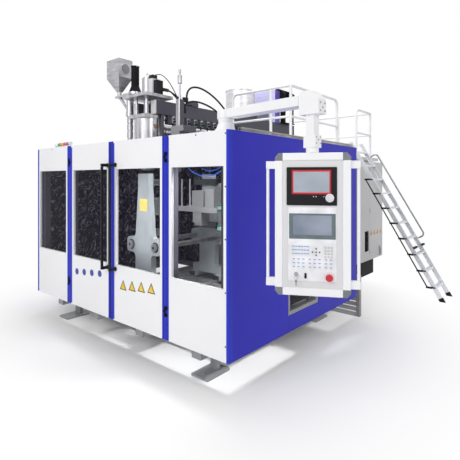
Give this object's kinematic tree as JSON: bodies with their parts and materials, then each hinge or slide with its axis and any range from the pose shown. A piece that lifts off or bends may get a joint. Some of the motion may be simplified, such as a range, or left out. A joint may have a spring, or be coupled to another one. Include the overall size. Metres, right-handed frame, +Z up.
{
  "type": "blow moulding machine",
  "caption": "Extrusion blow moulding machine with a glazed clamp enclosure, shuttle clamp, accumulator head, swing-arm control panel, rear platform and access ladder.",
  "frame": {"origin": "on the floor, at the centre of the anchor bolts under the clamp enclosure", "axes": "+X to the right along the glazed front, +Y from the front to the back, +Z up"},
  "size_m": [4.6476, 6.2797, 3.608],
  "materials": {
    "base_frame": "satin dark grey paint",
    "foot_plates": "satin grey paint",
    "enclosure_frame": "satin dark grey paint",
    "top_frame": "satin dark grey paint",
    "edge_profiles": "semi-gloss blue powder coat",
    "door_hinges": "satin black",
    "left_panel": "semi-gloss white powder coat",
    "right_panel": "semi-gloss white powder coat",
    "fixed_windows": "clear polycarbonate pane",
    "side_panel_right": "semi-gloss blue powder coat",
    "discharge_frame": "light grey paint",
    "side_panel_left": "semi-gloss blue powder coat",
    "rear_panel": "semi-gloss white powder coat",
    "roof_deck": "tread plate",
    "signal_lamp": "coloured lenses between grey caps",
    "cable_tray": "slotted beige duct",
    "rear_frame": "satin dark grey paint",
    "platform_deck": "tread plate",
    "railings": "semi-gloss white paint",
    "air_hoses": "black hydraulic hose",
    "ladder": "ribbed mill-finish aluminium",
    "ladder_side_rail": "satin black",
    "ladder_loop_rail": "brushed tube",
    "electrical_cabinet": "fine-textured light grey powder coat",
    "hydraulic_unit": "satin grey paint",
    "conveyor_belt": "black belt",
    "blow_unit": "satin grey with anodised cylinder",
    "hmi_arm_base": "white powder coat",
    "left_door": "semi-gloss white powder coat between blue profiles",
    "left_door_window": "clear polycarbonate pane",
    "left_door_handle": "black grip",
    "right_door": "semi-gloss white powder coat between blue profiles",
    "right_door_window": "clear polycarbonate pane",
    "right_door_handle": "black grip",
    "cabinet_door": "fine-textured light grey powder coat",
    "hmi_arm": "white powder coat",
    "hmi_housing": "white profiles with grey corners",
    "hmi_front_plate": "grey plate with display and keypad units",
    "hmi_handles": "white powder coat",
    "estop_button": "red mushroom head",
    "jog_knob": "turned knob",
    "key_switch": "key barrel and key",
    "carriage": "satin grey with ground rails",
    "front_platen": "grey-green painted casting with machined bars",
    "clamp_yoke": "painted casting, chromed bars, grey cylinder",
    "rear_platen": "grey-green painted casting with machined bars",
    "blow_pin": "ground and chromed",
    "takeout_unit": "anodised profiles and white blocks",
    "drive_roller": "turned steel",
    "idler_roller": "turned steel",
    "platform_beams": "satin dark grey paint",
    "die_head": "polished heater bands over steel",
    "head_drive": "machined steel and grey valve block",
    "barrel": "polished heater bands",
    "gearbox": "blue-grey painted casting",
    "main_hopper": "satin stainless sheet",
    "hopper_lid": "satin stainless sheet",
    "belt_guard": "blue frame with lavender perforated sheet",
    "drive_motor": "black finned housing",
    "strip_extruder": "steel barrel with black motor and sheet hopper"
  },
  "bodies": {
    "machine": {"base_frame": "base_frame", "foot_plates": "foot_plates", "enclosure_frame": "enclosure_frame", "top_frame": "top_frame", "edge_profiles": "edge_profiles", "door_hinges": "door_hinges", "left_panel": "left_panel", "right_panel": "right_panel", "fixed_windows": "fixed_windows", "side_panel_right": "side_panel_right", "discharge_frame": "discharge_frame", "side_panel_left": "side_panel_left", "rear_panel": "rear_panel", "roof_deck": "roof_deck", "signal_lamp": "signal_lamp", "cable_tray": "cable_tray", "rear_frame": "rear_frame", "platform_deck": "platform_deck", "railings": "railings", "air_hoses": "air_hoses", "ladder": "ladder", "ladder_side_rail": "ladder_side_rail", "ladder_loop_rail": "ladder_loop_rail", "electrical_cabinet": "electrical_cabinet", "hydraulic_unit": "hydraulic_unit", "conveyor_belt": "conveyor_belt", "blow_unit": "blow_unit", "hmi_arm_base": "hmi_arm_base", "platform_beams": "platform_beams", "die_head": "die_head", "head_drive": "head_drive", "barrel": "barrel", "gearbox": "gearbox", "main_hopper": "main_hopper", "belt_guard": "belt_guard", "drive_motor": "drive_motor", "strip_extruder": "strip_extruder"},
    "left_door": {"left_door": "left_door", "left_door_window": "left_door_window", "left_door_handle": "left_door_handle"},
    "right_door": {"right_door": "right_door", "right_door_window": "right_door_window", "right_door_handle": "right_door_handle"},
    "cabinet_door": {"cabinet_door": "cabinet_door"},
    "panel_arm": {"hmi_arm": "hmi_arm"},
    "control_panel": {"hmi_housing": "hmi_housing", "hmi_front_plate": "hmi_front_plate", "hmi_handles": "hmi_handles"},
    "estop": {"estop_button": "estop_button"},
    "jog_knob": {"jog_knob": "jog_knob"},
    "key": {"key_switch": "key_switch"},
    "carriage": {"carriage": "carriage"},
    "front_platen": {"front_platen": "front_platen", "clamp_yoke": "clamp_yoke"},
    "rear_platen": {"rear_platen": "rear_platen"},
    "blow_pin": {"blow_pin": "blow_pin"},
    "takeout": {"takeout_unit": "takeout_unit"},
    "drive_roller": {"drive_roller": "drive_roller"},
    "idler_roller": {"idler_roller": "idler_roller"},
    "hopper_lid": {"hopper_lid": "hopper_lid"}
  },
  "joints": [
    {"name": "left_door_swing", "type": "hinge", "parent": "machine", "child": "left_door", "pos_m": [-0.902, -1.337, 1.3], "axis": [0, 0, 1], "range_deg": [-105, 0]},
    {"name": "right_door_swing", "type": "hinge", "parent": "machine", "child": "right_door", "pos_m": [0.963, -1.337, 1.3], "axis": [0, 0, 1], "range_deg": [0, 105]},
    {"name": "cabinet_door_swing", "type": "hinge", "parent": "machine", "child": "cabinet_door", "pos_m": [0.877, 4.094, 1.265], "axis": [0, 0, 1], "range_deg": [-100, 0]},
    {"name": "arm_swing", "type": "hinge", "parent": "machine", "child": "panel_arm", "pos_m": [1.65, -1.22, 2.43], "axis": [0, 0, 1], "range_deg": [-50, 35]},
    {"name": "panel_swivel", "type": "hinge", "parent": "panel_arm", "child": "control_panel", "pos_m": [2.56461, -1.30968, 2.12], "axis": [0, 0, 1], "range_deg": [-60, 60]},
    {"name": "estop_press", "type": "slide", "parent": "control_panel", "child": "estop", "axis": [-0.4848, 0.8746, 0], "range_m": [0, 0.006], "stiffness_N_per_m": 2500},
    {"name": "jog_knob_turn", "type": "hinge", "parent": "control_panel", "child": "jog_knob", "pos_m": [2.68838, -1.28338, 1.759], "axis": [0.4848, -0.8746, 0], "continuous": true},
    {"name": "key_turn", "type": "hinge", "parent": "control_panel", "child": "key", "pos_m": [2.48197, -1.39779, 1.208], "axis": [-0.4848, 0.8746, 0], "range_deg": [0, 90]},
    {"name": "shuttle_travel", "type": "slide", "parent": "machine", "child": "carriage", "axis": [-1, 0, 0], "range_m": [0, 0.64]},
    {"name": "clamp_close", "type": "slide", "parent": "carriage", "child": "front_platen", "axis": [0, 1, 0], "range_m": [0, 0.25]},
    {"name": "rear_platen_travel", "type": "slide", "parent": "carriage", "child": "rear_platen", "axis": [0, 1, 0], "range_m": [-0.25, 0]},
    {"name": "pin_stroke", "type": "slide", "parent": "machine", "child": "blow_pin", "axis": [0, 0, -1], "range_m": [0, 0.2]},
    {"name": "takeout_travel", "type": "slide", "parent": "machine", "child": "takeout", "axis": [1, 0, 0], "range_m": [0, 0.45]},
    {"name": "conveyor_drive", "type": "hinge", "parent": "machine", "child": "drive_roller", "pos_m": [1.716, -0.065, 0.6], "axis": [0, 1, 0], "continuous": true},
    {"name": "conveyor_idler", "type": "hinge", "parent": "machine", "child": "idler_roller", "pos_m": [0.706, -0.065, 0.6], "axis": [0, 1, 0], "continuous": true},
    {"name": "hopper_lid_hinge", "type": "hinge", "parent": "machine", "child": "hopper_lid", "pos_m": [-0.405, 1.806, 3.4183], "axis": [1, 0, 0], "range_deg": [-100, 0]}
  ],
  "couplings": [
    {"joint": "rear_platen_travel", "follows": "clamp_close", "ratio": -1},
    {"joint": "conveyor_idler", "follows": "conveyor_drive", "ratio": 1}
  ]
}
